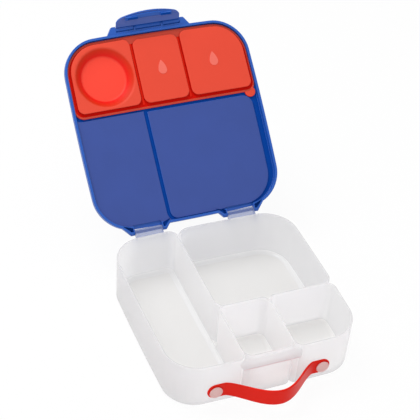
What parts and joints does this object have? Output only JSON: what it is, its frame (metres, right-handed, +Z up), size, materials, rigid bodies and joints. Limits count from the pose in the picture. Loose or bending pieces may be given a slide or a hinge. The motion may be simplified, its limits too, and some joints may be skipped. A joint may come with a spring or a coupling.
{
  "type": "lunch box",
  "caption": "Divided lunch box with a hinged lid, a removable soft seal with a bowl, a front latch flap and a soft carry strap, shown open.",
  "frame": {"origin": "centre of the tub's flat underside, on the surface the box stands on", "axes": "+Z up out of the compartments, +X to the user's right, -Y towards the latch and the carry strap; the lid's hinge runs along X at the back"},
  "size_m": [0.2486, 0.4725, 0.2555],
  "materials": {
    "frosted_plastic": "frosted translucent",
    "blue_plastic": "satin",
    "red_silicone": "satin"
  },
  "bodies": {
    "tub": {"tub": "frosted_plastic", "handle_strap": "red_silicone", "handle_stud_left": "frosted_plastic", "handle_stud_right": "frosted_plastic", "hinge_pin_left": "blue_plastic", "hinge_pin_right": "blue_plastic"},
    "lid": {"lid_shell": "blue_plastic", "lid_seal": "red_silicone", "latch_pin": "blue_plastic"},
    "latch": {"latch_flap": "blue_plastic"}
  },
  "joints": [
    {"name": "lid_hinge", "type": "hinge", "parent": "tub", "child": "lid", "pos_m": [0, 0.1265, 0.0635], "axis": [1, 0, 0], "range_deg": [0, 137.8]},
    {"name": "latch_hinge", "type": "hinge", "parent": "lid", "child": "latch", "pos_m": [0, 0.31671, 0.23395], "axis": [1, 0, 0], "range_deg": [-50, 50]}
  ]
}
